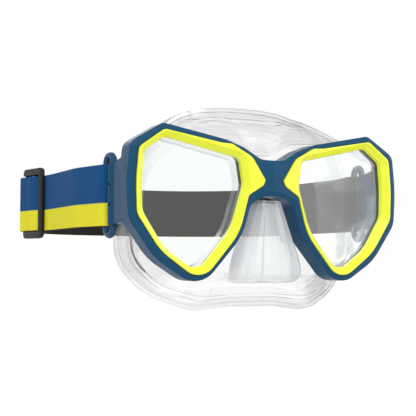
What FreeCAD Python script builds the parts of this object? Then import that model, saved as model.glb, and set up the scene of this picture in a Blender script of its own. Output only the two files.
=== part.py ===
"""Two-lens snorkel mask with its head strap, as a parametric FreeCAD document.

Axes: X to the wearer's left, Y from the lenses back to the head, Z up. The origin is in the
plane where the skirt meets the face, on the symmetry plane, level with the lens centres.
The front pieces are drawn for the +X side in the plane of that side's lens, which is yawed a
few degrees about Z, and are mirrored to the other side.
"""
import FreeCAD, Part
import math
import os
import Sketcher

V = FreeCAD.Vector
doc = FreeCAD.newDocument("snorkel_mask")
sheet = doc.addObject("Spreadsheet::Sheet", "Sizes")

SIZES = (
    # overall
    ("rim_half_width", 72.0),       # centre plane to the rim's temple corner
    ("rim_height", 68.0),           # scale of the lens shapes, top to bottom
    ("seal_depth", 34.0),           # lens rim plane back to the face seal
    ("lens_yaw", 3.0),              # degrees, each lens turned about Z
    # frame
    ("frame_front", 0.9),           # frame face behind the rim's face
    ("frame_depth", 11.6),
    ("bevel_across", 1.1),
    ("bevel_deep", 2.2),
    ("piece_gap", 0.1),             # clearance round the rims, the lenses and the skirt lip
    # rims and lenses
    ("rim_depth", 5.2),
    ("rim_slope_share", 0.04028),   # inner slope's width as a share of rim_half_width
    ("rim_slope_deep", 2.6),
    ("lens_lap", 2.0),              # lens edge beyond the window edge
    ("lens_thick", 4.0),
    # arm, knuckle and ring
    ("arm_thick", 3.0),
    ("arm_root", 6.0),              # arm's wide end behind the lens rim plane
    ("knuckle_out", 2.3),           # knuckle axis outboard of the rim's temple corner
    ("knuckle_reach", 26.5),        # knuckle axis behind the lens rim plane
    ("knuckle_radius", 2.9),
    ("knuckle_height", 29.0),
    ("knuckle_slit", 1.2),
    ("slit_level", 6.2),            # middle of each slit from the knuckle's middle
    ("slit_rise", 2.0),             # half of what a slit climbs on its way back
    ("ring_wire", 1.75),            # radius of the ring's round bar
    ("ring_pitch", 8.0),            # front bar to rear bar
    ("ring_fit", 0.06),             # radial clearance in the knuckle
    ("ring_spare", 0.9),            # straight bar showing beyond each end of the knuckle
    ("ring_toe", 4.0),              # degrees, the ring turned outward at rest
    ("band_level", -4.5),           # height of the ring's and the strap's middle
    # strap
    ("strap_width", 30.0),
    ("strap_thick", 1.2),
    ("strap_gap", 0.15),            # webbing to whatever it passes
    ("slider_reach", 117.6),        # slider's middle behind the lens rim plane
    ("slider_flare", 9.4),          # slider's middle outboard of the knuckle axis
    ("slider_heading", 15.0),       # degrees, slider turned outward
    ("loop_reach", 188.0),          # back of the strap behind the lens rim plane
    ("tail_length", 11.0),          # sewn end beyond the centre bar
    ("thread_thick", 0.35),
    ("stitch_rise", 3.0),           # height of one stroke of the zigzag
    # slider
    ("slider_length", 22.0),
    ("slider_plate", 2.0),
    ("slider_bar", 4.0),
    ("centre_bar", 3.0),
    ("slider_rail", 3.7),
    ("slider_side_gap", 0.6),       # webbing edge to rail
    ("slider_corner", 2.6),
    # skirt
    ("skirt_half_width", 68.0),
    ("skirt_top", 42.3),
    ("skirt_bottom", 60.5),
    ("skirt_wall", 2.0),
    ("skirt_lip", 2.4),             # skirt edge clamped behind each lens
    ("skirt_tilt", 5.0),            # degrees, the face seal leans back at the brow
    ("wall_overlap", 0.8),          # front wall run into the tunnel
    ("lip_overlap", 0.6),           # clamped lip run into the front wall
    ("seam_overlap", 0.3),          # each half of the front wall over the centre plane
    ("nose_half_width", 17.0),
    ("nose_front", 3.0),            # nose pocket ahead of the lens rim plane
    ("nose_floor", -47.0),
    ("nose_top", -6.5),
    ("nose_top_width", 7.0),        # half width at the top
    ("nose_top_front", 1.0),        # behind the lens rim plane
)
for row, (alias, value) in enumerate(SIZES, start=1):
    sheet.set("A%d" % row, alias)
    sheet.set("B%d" % row, str(value))
    sheet.setAlias("B%d" % row, alias)
doc.recompute()


def size(alias):
    """Read one driving dimension."""
    return float(sheet.get(alias))


# ---------------------------------------------------------------- outlines with round corners

def offset_corners(corners, distance, closed=True):
    """Move a list of (x, y, radius) corners sideways, to the right of the way they run."""
    count = len(corners)
    moved = []
    for index, (x, y, radius) in enumerate(corners):
        here = V(x, y, 0)
        before = corners[index - 1] if closed or index else None
        after = corners[(index + 1) % count] if closed or index < count - 1 else None
        ways = []
        if before:
            ways.append((here - V(before[0], before[1], 0)).normalize())
        if after:
            ways.append((V(after[0], after[1], 0) - here).normalize())
        rights = [V(way.y, -way.x, 0) for way in ways]
        if len(rights) == 1:
            shift = rights[0] * distance
            turn = 0.0
        else:
            middle = rights[0] + rights[1]
            shift = middle * (distance / (1.0 + rights[0].dot(rights[1])))
            turn = ways[0].cross(ways[1]).z
        grown = radius + distance if turn > 0 else radius - distance
        moved.append((x + shift.x, y + shift.y, max(grown, 0.0) if radius else 0.0))
    return moved


def outline(corners):
    """Lines and tangent arcs round a closed list of (x, y, radius) corners."""
    count = len(corners)
    trims = []
    for index, (x, y, radius) in enumerate(corners):
        here = V(x, y, 0)
        back = V(*corners[index - 1][:2], 0) - here
        ahead = V(*corners[(index + 1) % count][:2], 0) - here
        half = back.getAngle(ahead) / 2.0
        straight = half > math.pi / 2.0 - 1e-4
        if radius <= 1e-6 or straight:
            trims.append((here, here, None))
            continue
        reach = min(radius / math.tan(half), 0.49 * back.Length, 0.49 * ahead.Length)
        bisector = (back.normalize() + ahead.normalize()).normalize()
        round_radius = reach * math.tan(half)
        middle = here + bisector * (round_radius / math.sin(half) - round_radius)
        trims.append((here + back * reach, here + ahead * reach, middle))
    edges = []
    for index, (start, end, middle) in enumerate(trims):
        if middle:
            edges.append(Part.Arc(start, middle, end))
        following = trims[(index + 1) % count][0]
        if (following - end).Length > 1e-6:
            edges.append(Part.LineSegment(end, following))
    return edges


def ribbon(path, half_thickness):
    """Closed corner list of a strip whose centreline is an open list of (x, y, radius)."""
    right = offset_corners(path, half_thickness, closed=False)
    left = offset_corners(path, -half_thickness, closed=False)
    return right + left[::-1]


# ---------------------------------------------------------------- PartDesign helpers

def new_body(label):
    """Start a body whose name is the node's name."""
    body = doc.addObject("PartDesign::Body", label)
    body.Label = label
    return body


def add_sketch(body, name, role, offset, corner_lists, turn=None):
    """Sketch closed corner lists on one of the body's origin planes, moved along its normal."""
    sketch = body.newObject("Sketcher::SketchObject", name)
    plane = [item for item in body.Origin.OriginFeatures if item.Role == role][0]
    sketch.AttachmentSupport = [(plane, "")]
    sketch.MapMode = "FlatFace"
    sketch.AttachmentOffset = FreeCAD.Placement(V(0, 0, offset), turn or FreeCAD.Rotation())
    for corners in corner_lists:
        sketch.addGeometry(outline(corners), False)
    sketch.Visibility = False
    doc.recompute()
    return sketch


def add_circle(body, name, offset, x, y, radius):
    """Sketch a circle square to Z, its radius bound to a sheet expression."""
    sketch = add_sketch(body, name, "XY_Plane", offset, [])
    circle = sketch.addGeometry(Part.Circle(V(x, y, 0), V(0, 0, 1), 2.0), False)
    held = sketch.addConstraint(Sketcher.Constraint("Radius", circle, 2.0))
    sketch.setExpression("Constraints[%d]" % held, radius)
    doc.recompute()
    return sketch


def add_pad(body, sketch, length, backward=False, midplane=False):
    """Pad a sketch by a sheet expression."""
    feature = body.newObject("PartDesign::Pad", sketch.Name + "_pad")
    feature.Profile = sketch
    feature.setExpression("Length", length)
    feature.Reversed = backward
    feature.Midplane = midplane
    doc.recompute()
    return feature


def add_pocket(body, sketch, length, midplane=False, reverse=False):
    """Cut a sketch out of the body and make sure that it removes something."""
    before = body.Shape.Volume
    feature = body.newObject("PartDesign::Pocket", sketch.Name + "_pocket")
    feature.Profile = sketch
    feature.setExpression("Length", length)
    feature.Midplane = midplane
    feature.Reversed = reverse
    doc.recompute()
    if body.Shape.Volume >= before - 1e-3:
        raise RuntimeError(sketch.Name + " cuts nothing")
    return feature


def add_loft(body, kind, sketches):
    """Loft between sketches, added or cut."""
    feature = body.newObject("PartDesign::" + kind, sketches[0].Name + "_loft")
    feature.Profile = sketches[0]
    feature.Sections = sketches[1:]
    feature.Ruled = True
    doc.recompute()
    return feature


def front_edges(shape, level, outer):
    """Names of the edges round the flat face at the given local depth, outside or inside."""
    for face in shape.Faces:
        box = face.BoundBox
        if box.YLength < 1e-6 and abs(box.YMin - level) < 1e-6:
            wires = face.Wires
            chosen = [w for w in wires if w.isSame(face.OuterWire) == outer]
            wanted = [edge for wire in chosen for edge in wire.Edges]
            names = []
            for number, edge in enumerate(shape.Edges, start=1):
                if any(edge.isSame(other) for other in wanted):
                    names.append("Edge%d" % number)
            return names
    raise RuntimeError("no flat face at that depth")


def add_bevel(body, base, edges, across, deep, label):
    """Bevel edges of the front face: so far across the face and so far back."""
    feature = body.newObject("PartDesign::Chamfer", label)
    feature.Base = (base, edges)
    feature.ChamferType = "Two distances"
    feature.setExpression("Size", across)
    feature.setExpression("Size2", deep)
    doc.recompute()
    return feature


def mirrored(source, label):
    """The same piece on the other side of the symmetry plane."""
    copy = doc.addObject("Part::Mirroring", label)
    copy.Label = label
    copy.Source = source
    copy.Normal = V(1, 0, 0)
    copy.Base = V(0, 0, 0)
    doc.recompute()
    return copy


# ---------------------------------------------------------------- shared places

WIDE = size("rim_half_width")
HIGH = size("rim_height") / 2.0
YAW = math.radians(size("lens_yaw"))
LEVEL = size("band_level")
SIDE_PLACE = FreeCAD.Placement(
    V(0, -size("seal_depth") - WIDE * math.sin(YAW), 0),
    FreeCAD.Rotation(V(0, 0, 1), size("lens_yaw")),
)
PLAIN_PLACE = FreeCAD.Placement(V(0, -size("seal_depth"), 0), FreeCAD.Rotation())

# Corners are (x as a share of the rim's half width, z as a share of its half height, radius mm).
RIM_SHAPE = (
    (0.074, 0.091, 1.0), (0.174, 0.418, 9.0), (0.325, 0.590, 4.0), (0.406, 0.600, 3.0),
    (0.812, 0.750, 3.5), (0.988, 0.488, 4.0), (1.008, 0.030, 90.0), (1.000, -0.429, 9.0),
    (0.838, -0.932, 30.0), (0.549, -1.370, 10.0), (0.270, -0.679, 30.0), (0.200, -0.132, 3.0),
    (0.090, 0.012, 2.5),
)
WINDOW_SHAPE = (
    (0.250, 0.400, 3.5), (0.800, 0.656, 4.5), (0.939, 0.447, 4.5), (0.957, 0.020, 80.0),
    (0.950, -0.391, 9.0), (0.800, -0.888, 26.0), (0.560, -1.235, 7.5), (0.312, -0.618, 30.0),
    (0.221, 0.015, 12.0),
)
FRAME_SHAPE = (
    (-0.030, 0.382, 0.0), (0.090, 0.388, 7.0), (0.222, 0.551, 9.0), (0.361, 0.656, 20.0),
    (0.816, 0.844, 5.0), (1.043, 0.556, 6.0), (1.069, 0.020, 90.0), (1.054, -0.500, 12.0),
    (0.867, -1.050, 32.0), (0.548, -1.468, 13.0), (0.236, -0.715, 32.0), (0.169, -0.240, 5.0),
    (0.064, -0.138, 4.0), (-0.030, -0.135, 0.0),
)
# Arm: the root's x is a share of the rim's half width and the end's x a share of half the arm's
# thickness, and z is a share of the knuckle's half height from the band level.
ARM_ROOT_SHAPE = (
    (0.994, 1.310), (1.036, 1.310), (1.061, 0.862), (1.065, 0.241), (1.058, -0.379),
    (1.043, -0.897), (0.994, -0.897),
)
ARM_END_SHAPE = (
    (-1.0, 1.0), (1.0, 1.0), (1.0, 0.586), (1.0, 0.0), (1.0, -0.586), (1.0, -1.0), (-1.0, -1.0),
)
# Ends of the knuckle's slits, in knuckle radii from its axis.
SLIT_AHEAD = 0.6
SLIT_BEHIND = 1.2
# Front edge of the skirt's tunnel, just behind the frame, in the same shares.
TUNNEL_SHAPE = (
    (0.180, 0.500, 10.0), (0.790, 0.740, 6.0), (0.962, 0.480, 8.0), (0.983, 0.020, 60.0),
    (0.972, -0.440, 12.0), (0.830, -0.950, 26.0), (0.560, -1.300, 14.0), (0.330, -1.280, 8.0),
    (0.150, -1.320, 8.0),
)
# Skirt edge on the face, from the brow round to the upper lip: x as a share of the skirt's
# half width, z as a share of its reach above or below the lens centres.
SEAL_SHAPE = (
    (0.250, 1.000, 18.0), (0.560, 0.886, 20.0), (0.824, 0.567, 20.0), (0.956, 0.190, 25.0),
    (0.978, -0.300, 40.0), (0.985, -0.580, 14.0), (0.800, -0.860, 20.0), (0.485, -1.020, 12.0),
    (0.190, -0.945, 16.0),
)


def lens_corners(shape):
    """Turn a shape of shares into millimetres."""
    return [(x * WIDE, z * HIGH, radius) for x, z, radius in shape]


def both_sides(corners):
    """Close a half outline with its mirror image."""
    return corners + [(-x, z, radius) for x, z, radius in reversed(corners)]


# The shapes run clockwise seen from the front, so their outside is to the left.
rim_corners = lens_corners(RIM_SHAPE)
window_corners = lens_corners(WINDOW_SHAPE)
lens_edge = offset_corners(window_corners, -size("lens_lap"))
rim_back = size("rim_depth")
lens_back = rim_back + size("piece_gap") + size("lens_thick")

# ---------------------------------------------------------------- lens rims

rim = new_body("rim_left")
rim.Placement = SIDE_PLACE
rim_sketch = add_sketch(rim, "rim_outline", "XZ_Plane", 0.0, [rim_corners, window_corners])
rim_pad = add_pad(rim, rim_sketch, "Sizes.rim_depth", backward=True)
add_bevel(
    rim, rim_pad, front_edges(rim_pad.Shape, 0.0, outer=False),
    "Sizes.rim_slope_share * Sizes.rim_half_width", "Sizes.rim_slope_deep", "rim_inner_slope",
)
mirrored(rim, "rim_right")

# ---------------------------------------------------------------- lenses

lens = new_body("lens_left")
lens.Placement = SIDE_PLACE
lens_front = rim_back + size("piece_gap")
lens_sketch = add_sketch(lens, "lens_outline", "XZ_Plane", -lens_front, [lens_edge])
add_pad(lens, lens_sketch, "Sizes.lens_thick", backward=True)
mirrored(lens, "lens_right")

# ---------------------------------------------------------------- frame

frame = new_body("frame_side")
frame.Placement = SIDE_PLACE
frame_level = size("frame_front")
frame_sketch = add_sketch(
    frame, "frame_outline", "XZ_Plane", -frame_level, [lens_corners(FRAME_SHAPE)])
frame_pad = add_pad(frame, frame_sketch, "Sizes.frame_depth", backward=True)
outer_edges = front_edges(frame_pad.Shape, frame_level, outer=True)
cut_side = [
    "Edge%d" % number for number, edge in enumerate(frame_pad.Shape.Edges, start=1)
    if edge.BoundBox.XMax < 0
]
add_bevel(
    frame, frame_pad, [name for name in outer_edges if name not in cut_side],
    "Sizes.bevel_across", "Sizes.bevel_deep", "frame_bevel",
)
recess = add_sketch(
    frame, "rim_recess", "XZ_Plane", -frame_level,
    [offset_corners(rim_corners, -size("piece_gap"))])
add_pocket(frame, recess, "Sizes.rim_depth + Sizes.piece_gap - Sizes.frame_front")
lens_seat = add_sketch(
    frame, "lens_seat", "XZ_Plane", -frame_level,
    [offset_corners(lens_edge, -size("piece_gap"))])
add_pocket(frame, lens_seat, "Sizes.frame_depth + 1")

# The arm is faired into the frame's side and runs back to the knuckle that holds the ring.
knuckle_x = WIDE + size("knuckle_out")
knuckle_radius = size("knuckle_radius")
reach = size("knuckle_reach")
half_knuckle = size("knuckle_height") / 2.0
arm_end = reach - size("knuckle_slit")
half_arm = size("arm_thick") / 2.0
root_section = [(x * WIDE, LEVEL + z * half_knuckle, 0.0) for x, z in ARM_ROOT_SHAPE]
end_section = [
    (knuckle_x + x * half_arm, LEVEL + z * half_knuckle, 0.0) for x, z in ARM_END_SHAPE]
add_loft(frame, "AdditiveLoft", [
    add_sketch(frame, "arm_root", "XZ_Plane", -size("arm_root"), [root_section]),
    add_sketch(frame, "arm_end", "XZ_Plane", -arm_end, [end_section]),
])
knuckle_disc = add_circle(
    frame, "knuckle_disc", LEVEL - half_knuckle, knuckle_x, reach, "Sizes.knuckle_radius")
add_pad(frame, knuckle_disc, "Sizes.knuckle_height")
bore = add_circle(
    frame, "knuckle_bore", LEVEL, knuckle_x, reach, "Sizes.ring_wire + Sizes.ring_fit")
add_pocket(frame, bore, "2 * Sizes.knuckle_height", midplane=True)
# Two slanting slits let the knuckle's middle hook spring open over the ring.
half_slit = size("knuckle_slit") / 2.0
slit_front = reach - SLIT_AHEAD * knuckle_radius
slit_rear = reach + SLIT_BEHIND * knuckle_radius
for name, way in (("upper_slit", 1), ("lower_slit", -1)):
    front_z = LEVEL + way * (size("slit_level") - size("slit_rise"))
    rear_z = LEVEL + way * (size("slit_level") + size("slit_rise"))
    slit = [
        (slit_front, front_z - half_slit, 0.0), (slit_rear, rear_z - half_slit, 0.0),
        (slit_rear, rear_z + half_slit, 0.0), (slit_front, front_z + half_slit, 0.0),
    ]
    slit_sketch = add_sketch(frame, name, "YZ_Plane", knuckle_x, [slit])
    add_pocket(frame, slit_sketch, "3 * Sizes.knuckle_radius", midplane=True)
# Each side stops at the symmetry plane, where its mirror image joins on.
half_space = doc.addObject("Part::Box", "left_half_space")
half_space.setExpression("Length", "2 * Sizes.rim_half_width")
half_space.setExpression("Width", "4 * Sizes.seal_depth")
half_space.setExpression("Height", "3 * Sizes.rim_height")
half_space.Placement.Base = V(0, -2.0 * size("seal_depth"), -1.5 * size("rim_height"))
frame_left = doc.addObject("Part::Common", "frame_left_half")
frame_left.Base = frame
frame_left.Tool = half_space
frame_right = mirrored(frame_left, "frame_right_half")
whole_frame = doc.addObject("Part::Fuse", "whole_frame")
whole_frame.Label = "frame"
whole_frame.Base = frame_left
whole_frame.Tool = frame_right
whole_frame.Refine = True
doc.recompute()

# ---------------------------------------------------------------- swivel rings

knuckle = SIDE_PLACE.multVec(V(knuckle_x, reach, 0))
ring_turn = FreeCAD.Rotation(V(0, 0, 1), -size("ring_toe"))
ring = new_body("ring_left")
ring.Placement = FreeCAD.Placement(V(knuckle.x, knuckle.y, LEVEL), ring_turn)
bend = size("ring_pitch") / 2.0
straight = half_knuckle + size("ring_spare")
spine = add_sketch(ring, "ring_spine", "YZ_Plane", 0.0, [])
spine.addGeometry([
    Part.LineSegment(V(0, -straight, 0), V(0, straight, 0)),
    Part.Arc(V(0, straight, 0), V(bend, straight + bend, 0), V(2 * bend, straight, 0)),
    Part.LineSegment(V(2 * bend, straight, 0), V(2 * bend, -straight, 0)),
    Part.Arc(V(2 * bend, -straight, 0), V(bend, -straight - bend, 0), V(0, -straight, 0)),
], False)
ring_section = add_circle(ring, "ring_section", 0.0, 0.0, 0.0, "Sizes.ring_wire")
ring_pipe = ring.newObject("PartDesign::AdditivePipe", "ring_bar")
ring_pipe.Profile = ring_section
ring_pipe.Spine = spine
doc.recompute()
mirrored(ring, "ring_right")

# ---------------------------------------------------------------- sliders

# In a slider's own frame y runs back along the strap and x points away from the head.
# The front bar lies over the strap and the centre and rear bars lie under it.
RAIL_PROUD = 0.05
BAR_ROUND = 0.5
thick = size("strap_thick")
gap = size("strap_gap")
plate = size("slider_plate")
half_long = size("slider_length") / 2.0
bar = size("slider_bar")
half_bar = size("centre_bar") / 2.0
plate_inner = thick / 2.0 + 2.0 * gap
plate_outer = plate_inner + plate
loop_upper = 0.0
bar_top = loop_upper - thick / 2.0 - gap
bar_low = bar_top - plate
loop_lower = bar_low - gap - thick / 2.0
tail_level = loop_lower + thick + gap
over_bar = loop_upper + thick + gap
slider_place = FreeCAD.Placement(
    V(knuckle.x + size("slider_flare"), size("slider_reach") - size("seal_depth"), LEVEL),
    FreeCAD.Rotation(V(0, 0, 1), -size("slider_heading")),
)

slider = new_body("slider_left")
slider.Placement = slider_place
slot_half = half_long - bar
rail_top = loop_upper + thick / 2.0 + RAIL_PROUD
slider_side = [
    (plate_outer, -half_long, 0.0), (plate_outer, -slot_half, 2.0), (rail_top, half_long, 0.0),
    (bar_low, half_long, 0.0), (bar_low, -half_bar, BAR_ROUND),
    (plate_inner, -slot_half, BAR_ROUND), (plate_inner, -half_long, 0.0),
]
slider_height = "Sizes.strap_width + 2 * Sizes.slider_rail + 2 * Sizes.slider_side_gap"
slider_sketch = add_sketch(slider, "slider_side", "XY_Plane", 0.0, [slider_side])
add_pad(slider, slider_sketch, slider_height, midplane=True)
above = plate_outer + plate
below = bar_low - plate
beyond = half_long + plate
slots = [
    (above, -slot_half, 0.0), (above, beyond, 0.0), (bar_top, beyond, 0.0),
    (bar_top, slot_half, BAR_ROUND), (below, slot_half, 0.0), (below, half_bar, 0.0),
    (bar_top, half_bar, BAR_ROUND), (bar_top, -half_bar, BAR_ROUND), (below, -half_bar, 0.0),
    (below, -slot_half, 0.0),
]
slot_sketch = add_sketch(slider, "slider_slots", "XY_Plane", 0.0, [slots])
slot_height = "Sizes.strap_width + 2 * Sizes.slider_side_gap"
slotted = add_pocket(slider, slot_sketch, slot_height, midplane=True)
slider_half_height = size("strap_width") / 2.0 + size("slider_side_gap") + size("slider_rail")
corner_edges = []
for number, edge in enumerate(slotted.Shape.Edges, start=1):
    box = edge.BoundBox
    at_end = abs(abs(box.Center.y) - half_long) < 1e-3
    at_side = abs(abs(box.Center.z) - slider_half_height) < 1e-3
    if at_end and at_side and box.YLength < 1e-3 and box.ZLength < 1e-3:
        corner_edges.append("Edge%d" % number)
slider_round = slider.newObject("PartDesign::Fillet", "slider_corners")
slider_round.Base = (slotted, corner_edges)
slider_round.setExpression("Radius", "Sizes.slider_corner")
doc.recompute()
mirrored(slider, "slider_right")

# ---------------------------------------------------------------- strap


def beside_slider(along, out):
    """A point given in the slider's frame, in the part's frame."""
    point = slider_place.multVec(V(out, along, 0))
    return point.x, point.y


def corner(point, radius):
    """A path corner from a point."""
    return point[0], point[1], radius


# Points of the strap that only its fall decides, in mm.
WAVE = ((8.0, 30.0), (6.4, 68.0))   # outer layer from the knuckle axis, ring to slider
WAVE_RADIUS = 40.0
SPLIT = (-2.0, -30.0)               # end of the loop's node, from the knuckle and the back
BEND_IN = (10.0, -12.5)             # last bend of the loop's node, from its end
NAPE_RUN = 16.0                     # straight run of the back band beyond the loop's end
NAPE = (34.0, 60.0)                 # half of the flat at the back, and the bend beside it
EASE = 3.0                          # run beyond an end of the slider before the strap turns
RISE_RUN = 1.2                      # run beside the centre bar to the strap's level over it

back_y = size("loop_reach") - size("seal_depth")
ring_rear = knuckle + ring_turn.multVec(V(0, size("ring_pitch"), 0))
wrap = size("ring_wire") + 2.0 * gap + thick / 2.0
loop_rear = half_bar + gap + thick / 2.0
layer = over_bar - loop_lower
wave = [
    corner((knuckle.x + out, knuckle.y + along), WAVE_RADIUS) for out, along in WAVE]
split = (knuckle.x + SPLIT[0], back_y + SPLIT[1])
bend_in = (split[0] + BEND_IN[0], split[1] + BEND_IN[1])
loop_path = [
    corner(beside_slider(-size("tail_length"), tail_level), 0.0),
    corner(beside_slider(-loop_rear - 2.0 * RISE_RUN, tail_level), 1.2),
    corner(beside_slider(-loop_rear, loop_upper), 1.0),
    corner(beside_slider(loop_rear, loop_upper), 0.8),
    corner(beside_slider(loop_rear, loop_lower), 0.8),
    corner(beside_slider(-half_long - EASE, loop_lower), 20.0),
    corner((wave[1][0] - layer, wave[1][1]), WAVE_RADIUS),
    corner((wave[0][0] - layer, wave[0][1]), WAVE_RADIUS),
    corner((ring_rear.x - wrap, ring_rear.y + 2.0 * wrap), 12.0),
    corner((ring_rear.x - wrap, ring_rear.y - wrap), wrap),
    corner((ring_rear.x + wrap, ring_rear.y - wrap), wrap),
    wave[0],
    wave[1],
    corner(beside_slider(-half_long, 0.0), 20.0),
    corner(beside_slider(-slot_half, 0.0), 6.0),
    corner(beside_slider(-half_bar - RISE_RUN, over_bar), 6.0),
    corner(beside_slider(half_bar + RISE_RUN, over_bar), 6.0),
    corner(beside_slider(slot_half, 0.0), 6.0),
    corner(beside_slider(half_long + EASE, 0.0), 9.0),
    corner(bend_in, 30.0),
    corner(split, 0.0),
]
loop = new_body("strap_loop_left")
loop_sketch = add_sketch(
    loop, "strap_loop_path", "XY_Plane", LEVEL, [ribbon(loop_path, thick / 2.0)])
add_pad(loop, loop_sketch, "Sizes.strap_width", midplane=True)
mirrored(loop, "strap_loop_right")

# The back of the strap goes on from both loops round the head, square to their cut ends.
run_on = V(split[0] - bend_in[0], split[1] - bend_in[1], 0).normalize() * NAPE_RUN
nape = (split[0] + run_on.x, split[1] + run_on.y)
band_half = [
    corner(split, 0.0), corner(nape, NAPE[1]), corner((NAPE[0], back_y), NAPE[1])]
band_path = band_half + [(-x, y, bend_radius) for x, y, bend_radius in reversed(band_half)]
band = new_body("strap_back")
band_sketch = add_sketch(
    band, "strap_back_path", "XY_Plane", LEVEL, [ribbon(band_path, thick / 2.0)])
add_pad(band, band_sketch, "Sizes.strap_width", midplane=True)

# A zigzag of thread holds the strap's folded end on the layer under it.
STITCH_ROWS = 9
STITCH_NEAR = 5.0                   # the two edges of the zigzag, from the end of the tail
STITCH_FAR = 2.0
thread = size("thread_thick")
first_row = -size("stitch_rise") * (STITCH_ROWS - 1) / 2.0
zigzag = []
for row in range(STITCH_ROWS):
    inset = STITCH_FAR if row % 2 else STITCH_NEAR
    zigzag.append((inset - size("tail_length"), first_row + size("stitch_rise") * row, 0.0))
stitching = new_body("stitching_left")
stitching.Placement = slider_place
stitch_level = loop_lower - thick / 2.0 - thread
stitch_sketch = add_sketch(
    stitching, "stitch_zigzag", "YZ_Plane", stitch_level, [ribbon(zigzag, thread)])
add_pad(stitching, stitch_sketch, "Sizes.thread_thick")
mirrored(stitching, "stitching_right")

# ---------------------------------------------------------------- skirt

skirt = new_body("skirt")
skirt.Placement = PLAIN_PLACE
wall = size("skirt_wall")
nose_drop = WIDE * math.sin(YAW)
lip_front = lens_back + size("piece_gap")
plate_front = size("frame_front") + size("frame_depth") + size("piece_gap")


def add_side_sketch(name, depth, corners, side):
    """Sketch in one lens's own plane, at a depth behind that lens's rim face."""
    flipped = [(side * x, z, bend_radius) for x, z, bend_radius in corners]
    sketch = add_sketch(skirt, name, "XZ_Plane", 0.0, [flipped])
    base = V(-side * depth * math.sin(YAW), 0, nose_drop - depth * math.cos(YAW))
    turn = FreeCAD.Rotation(V(0, 1, 0), side * size("lens_yaw"))
    sketch.AttachmentOffset = FreeCAD.Placement(base, turn)
    doc.recompute()
    return sketch


tunnel_half = lens_corners(TUNNEL_SHAPE)
seam = plate_front * math.tan(YAW) - size("seam_overlap")
plate_half = tunnel_half + [(seam, tunnel_half[-1][1], 0.0), (seam, tunnel_half[0][1], 0.0)]
front_wall = "Sizes.rim_half_width * sin(Sizes.lens_yaw * 1 deg) + Sizes.wall_overlap"
frame_back = "Sizes.frame_front + Sizes.frame_depth"
lip_length = frame_back + " - Sizes.rim_depth - Sizes.lens_thick + Sizes.lip_overlap"
lip_edge = offset_corners(lens_edge, size("piece_gap"))
view_edge = offset_corners(lens_edge, size("skirt_lip"))
for side, hand in ((1, "left"), (-1, "right")):
    plate_sketch = add_side_sketch("front_wall_" + hand, plate_front, plate_half, side)
    add_pad(skirt, plate_sketch, front_wall, backward=True)
    lip_sketch = add_side_sketch("lens_lip_" + hand, lip_front, lip_edge, side)
    add_pad(skirt, lip_sketch, lip_length, backward=True)

lean = FreeCAD.Rotation(V(1, 0, 0), -size("skirt_tilt"))
half_skirt = size("skirt_half_width")
seal_half = [
    (x * half_skirt, z * (size("skirt_top") if z > 0 else size("skirt_bottom")), bend_radius)
    for x, z, bend_radius in SEAL_SHAPE
]
tunnel_edge = both_sides(tunnel_half)
seal_edge = both_sides(seal_half)
tunnel_start = plate_front + size("piece_gap")
tunnel_outer = add_sketch(skirt, "tunnel_outer", "XZ_Plane", -tunnel_start, [tunnel_edge])
seal_outer = add_sketch(
    skirt, "seal_outer", "XZ_Plane", -size("seal_depth"), [seal_edge], lean)
add_loft(skirt, "AdditiveLoft", [tunnel_outer, seal_outer])


def nose_section(name, level, half_width, front, back):
    """Level section of the nose pocket."""
    corners = [
        (-half_width, back, 0.0), (-NOSE_FRONT_SHARE * half_width, front, NOSE_ROUND),
        (NOSE_FRONT_SHARE * half_width, front, NOSE_ROUND), (half_width, back, 0.0),
    ]
    return add_sketch(skirt, name, "XY_Plane", level, [corners])


NOSE_FRONT_SHARE = 0.75             # width of the pocket's front over its width at the back
NOSE_ROUND = 3.0
NOSE_TOP_BACK = 16.0                # the sections' back ends, inside the tunnel
NOSE_FLOOR_BACK = 24.0
nose_top = size("nose_top")
nose_top_width = size("nose_top_width")
nose_top_front = size("nose_top_front")
nose_width = size("nose_half_width")
nose_floor = size("nose_floor")
nose_front = -size("nose_front")
add_loft(skirt, "AdditiveLoft", [
    nose_section("nose_top_outer", nose_top, nose_top_width, nose_top_front, NOSE_TOP_BACK),
    nose_section("nose_floor_outer", nose_floor, nose_width, nose_front, NOSE_FLOOR_BACK),
])
tunnel_inner = add_sketch(
    skirt, "tunnel_inner", "XZ_Plane", -tunnel_start - wall, [offset_corners(tunnel_edge, wall)])
seal_inner = add_sketch(
    skirt, "seal_inner", "XZ_Plane", -size("seal_depth"), [offset_corners(seal_edge, wall)], lean)
add_loft(skirt, "SubtractiveLoft", [tunnel_inner, seal_inner])
add_loft(skirt, "SubtractiveLoft", [
    nose_section(
        "nose_top_inner", nose_top - wall, nose_top_width - wall,
        nose_top_front + wall, NOSE_TOP_BACK + wall),
    nose_section(
        "nose_floor_inner", nose_floor + wall, nose_width - wall,
        nose_front + wall, NOSE_FLOOR_BACK + wall),
])
for side, hand in ((1, "left"), (-1, "right")):
    view_sketch = add_side_sketch("view_" + hand, lip_front, view_edge, side)
    add_pocket(skirt, view_sketch, "Sizes.seal_depth / 2")

# ---------------------------------------------------------------- check and write

NODES = (
    "frame", "rim_left", "rim_right", "lens_left", "lens_right", "skirt", "ring_left",
    "ring_right", "slider_left", "slider_right", "strap_back", "strap_loop_left",
    "strap_loop_right", "stitching_left", "stitching_right",
)
doc.recompute()
for item in doc.Objects:
    if any(state in ("Invalid", "Error") for state in item.State):
        raise RuntimeError("%s did not build" % item.Name)
os.makedirs("parts", exist_ok=True)
for node in NODES:
    shape = doc.getObjectsByLabel(node)[0].Shape
    if shape.isNull() or not shape.isValid():
        raise RuntimeError("%s is not a valid shape" % node)
    shape.exportStep("parts/%s.step" % node)
    print("%-18s %d solid  %10.1f mm3" % (node, len(shape.Solids), shape.Volume))
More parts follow.
